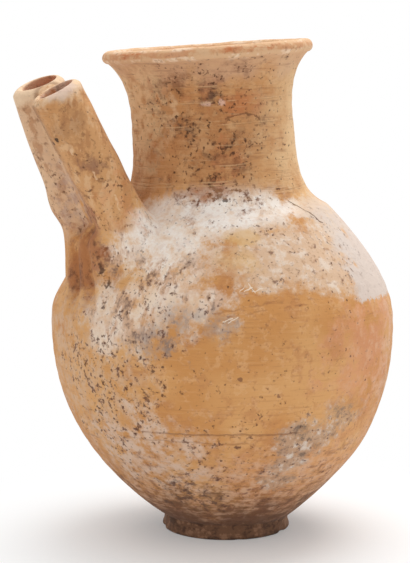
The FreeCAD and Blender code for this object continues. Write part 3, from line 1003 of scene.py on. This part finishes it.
near_spout, far_spout = (clay.off_line(*bore) for bore in BORES)
outside = clay.rise(clay.x, -47, -54) * clay.rise(clay.z + mottle, 106, 116)
on_near = clay.rise(near_spout, 10.6, 9.9) * outside
on_far = clay.rise(far_spout, 12.5, 11.5) * outside * (1 - on_near)
on_spout = either(on_near, on_far)
clay.lay((204, 154, 105), on_near * 0.78)
clay.lay((216, 180, 147), on_far * 0.8)
clay.lay((170, 116, 74), on_spout * clay.rise(drips + mottle * 0.5, 0.0, 1.6) * 0.6)
clay.lay((220, 182, 142), on_spout * clay.rise(drips - mottle * 0.5, -0.4, -1.6) * 0.5)
clay.lay((164, 118, 80), patch((-69, -16, 152), (6, 8, 9), 0.4, 0.6) * 0.55)
clay.lay((206, 136, 82), patch((-55, -19, 130), (7, 7, 12), 0.4, 0.6) * clay.rise(mottle, -1.0, 1.4) * 0.45)
clay.lay((140, 100, 80), patch((-64.6, -18.6, 139), (3.8, 4, 4), 0.4, 0.6) * 0.7)
clay.lay((184, 156, 142), patch((-63, 2, 125), (8, 8, 16), 0.35, 0.5) * clay.rise(mottle, -1.2, 0.8) * 0.55)
spout_specks = on_spout * clay.rise(clay.z, 150, 130)
clay.lay((100, 66, 44), clay.rise(pits + fine * 0.4 + spout_specks * 0.9, 1.7, 3.3) * on_spout * 0.8)
clay.lay((128, 86, 58), on_spout * clay.rise(blots + fine * 0.4, 0.7, 3.0) * 0.6)
spout_marks = either(
    scratch((-74.5, -13.6, 142.4), (-71, -15.5, 143.1), (-66.5, -17.9, 143.4)),
    scratch((-66.6, -17.6, 142.0), (-63.2, -17.6, 139.6), (-62.0, -17.0, 136.8)),
    scratch((-63.8, -18.2, 135.8), (-63.4, -18.2, 133.4)),
    scratch((-55.8, -19.6, 127.0), (-55.3, -19.8, 123.4)),
)
clay.lay((226, 190, 152), spout_marks * 0.7)
clay.lay((52, 40, 34), dots(0.8, (-74.8, -12.6, 146.8), (-74.8, -9.6, 145.5), (-75.4, -8.6, 144.9)) * 0.85)
rim_top = either(*(
    clay.rise(clay.along(mouth, direction) + mottle * 0.5, -3.8, -0.4)
    for mouth, (_, direction) in zip(SPOUT_MOUTHS, BORES)
)) * outside
clay.lay((234, 205, 172), rim_top * clay.rise(ragged + fine * 0.4, 2.8, -0.6) * 0.78)
clay.lay((210, 186, 176), rim_top * on_near * patch((-75, -14, 165), (5, 7, 6), 0.2, 0.5) * 0.6)
in_bore = clay.rise(near_spout.math("MINIMUM", near_spout, far_spout), 6.8, 6.0) * outside
clay.lay((190, 112, 72), in_bore * 0.85)
# Painted light: the inside of the near bore made paler where it lies in shade.
clay.lay((214, 190, 170), in_bore * on_near * clay.rise(mottle, -1.6, 0.6) * 0.75)
clay.lay((110, 78, 60), in_bore * clay.rise(mottle + fine * 0.5, 0.4, 1.8) * 0.6)
# Painted shade: a darker band down the groove between the two spouts.
painted_cleft_shade = clay.rise(near_spout, 9.5, 10.1) * clay.rise(near_spout, 12.0, 10.4) * outside
painted_cleft_shade = painted_cleft_shade * clay.rise(clay.y, -11, -8)
clay.lay((132, 92, 66), painted_cleft_shade * clay.rise(clay.x, -50, -56) * 0.5)
buttress = patch((-63, -3, 105), (7.5, 12, 14), 0.2, 0.4)
clay.lay((162, 99, 57), buttress * 0.84)
clay.lay((88, 52, 32), buttress * clay.rise(mottle + pits * 0.4 + ragged * 0.4, -0.2, 2.6) * 0.68)
finger_edge = scratch(
    (-60.6, -10, 107), (-59.8, -15.1, 101.5), (-59.4, -17.6, 95), (-59.2, -19.4, 88.7), width=1.7
)
clay.lay((80, 56, 42), finger_edge * clay.rise(pits + drips * 0.6, -0.2, 1.4) * 0.75)

surface_bump = clay.node("ShaderNodeBump", {}, {"Height": clay.height, "Distance": MM, "Strength": 1.0})
rough = 0.9 - clay.rise(ragged, 0.0, 1.5) * 0.1 + bloom * 0.06
surface = clay.node(
    "ShaderNodeBsdfPrincipled",
    {},
    {
        "Base Color": clay.colour,
        "Roughness": rough,
        "Normal": surface_bump,
        "Specular IOR Level": 0.25,
        "Sheen Weight": 0.06,
        "Sheen Roughness": 0.5,
        "Sheen Tint": (1.0, 0.93, 0.85, 1.0),
    },
)
clay.node("ShaderNodeOutputMaterial", {}, {"Surface": surface})

# Plain studio
# A pale floor that keeps the jug's soft shadow, an even white surround and one large soft lamp overhead.
# The camera stands where the photographer stood, at the height of the belly and a little to the spouts' side.
CAMERA_PLACE = Vector((-330.73, -556.93, 167.49))
CAMERA_AIM = Vector((-6.886, 3.976, 92.55))
PICTURE_HEIGHT = 563
PICTURE_FOCAL = 1750

camera_data = bpy.data.cameras.new("photographer")
camera_data.sensor_fit = "VERTICAL"
camera_data.sensor_height = 36
camera_data.lens = 36 * PICTURE_FOCAL / PICTURE_HEIGHT
camera = bpy.data.objects.new("photographer", camera_data)
camera.location = CAMERA_PLACE * MM
camera.rotation_euler = (CAMERA_AIM - CAMERA_PLACE).to_track_quat("-Z", "Y").to_euler()
bpy.context.collection.objects.link(camera)
bpy.context.scene.camera = camera

ground_form = bmesh.new()
bmesh.ops.create_circle(ground_form, cap_ends=True, segments=96, radius=3000)
ground = piece_from(ground_form, "studio_floor")



def rays_to_white(nodes):
    """1 for the rays that see the surround, straight or in a gloss, and 0 for those that light the jug."""
    kinds = ("Is Camera Ray", "Is Glossy Ray", "Is Transmission Ray")
    return either(*(nodes.node("ShaderNodeLightPath", {}, {}, kind) for kind in kinds))


# The paper fades from its own shaded colour round the foot to the white of the surround. Round the foot a
# fifth of it is still white glow to the rays that see the surround: painted light that lightens the jug's
# shadow.
SHADOW_MIDDLE = (-2, -16, 0)
SHADOW_REACH = (30, 132)
paper = Finish("studio_paper")
far_off = paper.rise(paper.away(SHADOW_MIDDLE, (1, 1, 1)), *SHADOW_REACH) * 0.8 + 0.2
matt = paper.node("ShaderNodeBsdfDiffuse", {}, {"Color": (0.87, 0.865, 0.86, 1)})
white = paper.node("ShaderNodeEmission", {}, {"Color": (1, 1, 1, 1), "Strength": 1.0})
blend = paper.node("ShaderNodeMixShader", {}, {0: rays_to_white(paper) * far_off, 1: matt, 2: white})
paper.node("ShaderNodeOutputMaterial", {}, {"Surface": blend})
ground.data.materials.append(paper.material)

SURROUND = 0.78
world = bpy.data.worlds.new("studio_surround")
bpy.context.scene.world = world
world.use_nodes = True
room = Nodes(world.node_tree)
strength = rays_to_white(room) * (1 - SURROUND) + SURROUND
light = room.node("ShaderNodeBackground", {}, {"Color": (1, 1, 1, 1), "Strength": strength})
room.node("ShaderNodeOutputWorld", {}, {"Surface": light})

lamp_data = bpy.data.lights.new("soft_box", "AREA")
lamp_data.shape = "DISK"
lamp_data.size = 0.9
lamp_data.energy = 9.0
lamp = bpy.data.objects.new("soft_box", lamp_data)
lamp.location = (0.35, 0.15, 1.1)
lamp.rotation_euler = (Vector((0, 0, 0.09)) - lamp.location).to_track_quat("-Z", "Y").to_euler()
bpy.context.collection.objects.link(lamp)

bpy.context.scene.view_settings.view_transform = "Standard"
